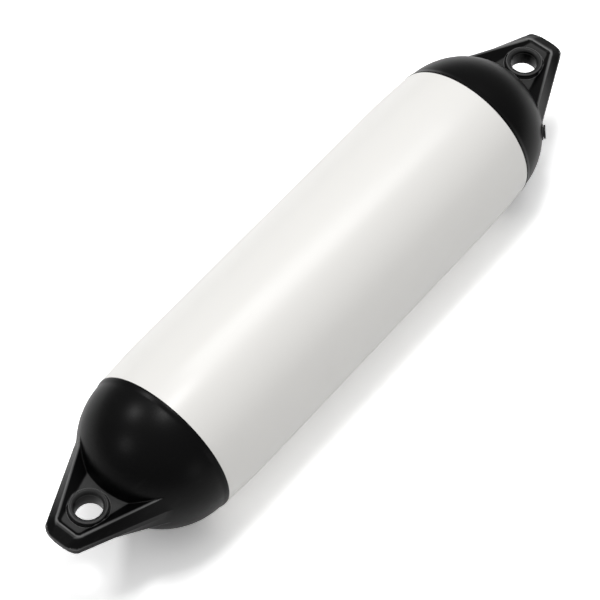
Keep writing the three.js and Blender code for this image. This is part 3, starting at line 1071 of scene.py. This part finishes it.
# %% Bush
BUSH_SOFTENING = 0.55
FLANGE_RADIUS = 6.3
FLANGE_THICKNESS = 1.8
PLUG_HEAD_RADIUS = 3.6
PLUG_HEAD_THICKNESS = 1.3
PLUG_SHANK_RADIUS = 2.2
BUSH_BOTTOM = PAD_HEIGHT + CLEARANCE - SHANK_LENGTH
FLANGE_BOTTOM = PAD_HEIGHT + CLEARANCE
BUSH_TOP = FLANGE_BOTTOM + FLANGE_THICKNESS
HEAD_SEAT = BUSH_TOP - PLUG_HEAD_THICKNESS
valve_turn = Vector((0.0, 0.0, 1.0)).rotation_difference(valve_axis).to_matrix().to_4x4()


def stand_on_cap(piece):
    """Puts a piece made about the Z axis in millimetres where the valve is, in metres."""
    mesh = piece.data
    mesh.transform(valve_turn)
    placed = np.array([v.co for v in mesh.vertices]) + np.array(valve_foot)
    placed += (TUBE_HALF, 0.0, AXIS_HEIGHT)
    mesh.vertices.foreach_set("co", (placed * MM).ravel().astype(np.float32))
    mesh.update()
    mesh.materials.clear()
    mesh.materials.append(black_nylon)


bush = turned_ring("valve_bush_turned", softened([
    (PLUG_SHANK_RADIUS + CLEARANCE, BUSH_BOTTOM),
    (SHANK_RADIUS, BUSH_BOTTOM),
    (SHANK_RADIUS, FLANGE_BOTTOM),
    (FLANGE_RADIUS, FLANGE_BOTTOM),
    (FLANGE_RADIUS, BUSH_TOP),
    (PLUG_HEAD_RADIUS + CLEARANCE, BUSH_TOP),
    (PLUG_HEAD_RADIUS + CLEARANCE, HEAD_SEAT - CLEARANCE),
    (PLUG_SHANK_RADIUS + CLEARANCE, HEAD_SEAT - CLEARANCE),
], BUSH_SOFTENING))
stand_on_cap(bush)
hand_in(bush, "valve_bush")

# %% [markdown]
# ### The plug's blank
# The plug is a solid turned part. Its outline starts and ends on the axis, so each ring of points
# there is merged into one pole.

# %% Plug blank
PLUG_SOFTENING = 0.2
PLUG_SHANK_LENGTH = 8.0
POLE_MERGE = 1e-4


def cleaned(piece, distance):
    """Merges the points that are closer than the distance, and drops faces without area."""
    work = bmesh.new()
    work.from_mesh(piece.data)
    bmesh.ops.remove_doubles(work, verts=work.verts, dist=distance)
    bmesh.ops.dissolve_degenerate(work, edges=work.edges, dist=distance / 10)
    bmesh.ops.recalc_face_normals(work, faces=work.faces)
    work.to_mesh(piece.data)
    work.free()
    return piece


def solid_turned(name, corners, radius):
    outline = softened([(0.0, corners[0][1]), *corners, (0.0, corners[-1][1])], radius)
    outline = [Vector((max(0.0, p.x), p.y)) for p in outline]
    return cleaned(turned_ring(name, outline), POLE_MERGE)


plug = solid_turned("plug_blank", [
    (PLUG_SHANK_RADIUS, HEAD_SEAT - PLUG_SHANK_LENGTH),
    (PLUG_SHANK_RADIUS, HEAD_SEAT),
    (PLUG_HEAD_RADIUS, HEAD_SEAT),
    (PLUG_HEAD_RADIUS, BUSH_TOP),
], PLUG_SOFTENING)
print("plug blank", len(plug.data.vertices), "points")

# %% [markdown]
# ### The slot
# A slot for a coin or a screwdriver runs across the plug's head. A boolean cuts it and a bevel
# softens its edges. Where the bevel runs out at the head's round edge it leaves slivers, so points
# that almost touch are merged afterwards.

# %% Plug
SLOT_WIDTH = 1.1
SLOT_DEPTH = 0.8
SLOT_EDGE = 0.12
SHARP_ANGLE = math.radians(50.0)
SLIVER_MERGE = 0.02

slot_mesh = bpy.data.meshes.new("slot_cutter")
half_long, half_wide = 2 * PLUG_HEAD_RADIUS, SLOT_WIDTH / 2
slot_corners = ((-half_long, -half_wide), (half_long, -half_wide),
                (half_long, half_wide), (-half_long, half_wide))
slot_heights = (BUSH_TOP - SLOT_DEPTH, BUSH_TOP + SLOT_DEPTH)
slot_mesh.from_pydata(
    [(*corner, height) for height in slot_heights for corner in slot_corners],
    [], [(3, 2, 1, 0), (4, 5, 6, 7), (0, 1, 5, 4), (1, 2, 6, 5), (2, 3, 7, 6), (3, 0, 4, 7)])
slot_cutter = bpy.data.objects.new("slot_cutter", slot_mesh)
bpy.context.scene.collection.objects.link(slot_cutter)
cut = plug.modifiers.new("slot", "BOOLEAN")
cut.operation, cut.solver, cut.object = "DIFFERENCE", "EXACT", slot_cutter
soften = plug.modifiers.new("soften", "BEVEL")
soften.width, soften.segments, soften.limit_method = SLOT_EDGE, 2, "ANGLE"
soften.angle_limit = SHARP_ANGLE
plug = cleaned(plain_mesh(plug, "valve_plug_turned"), SLIVER_MERGE)
bpy.data.objects.remove(slot_cutter)
plug.data.shade_smooth()
stand_on_cap(plug)
hand_in(plug, "valve_plug")
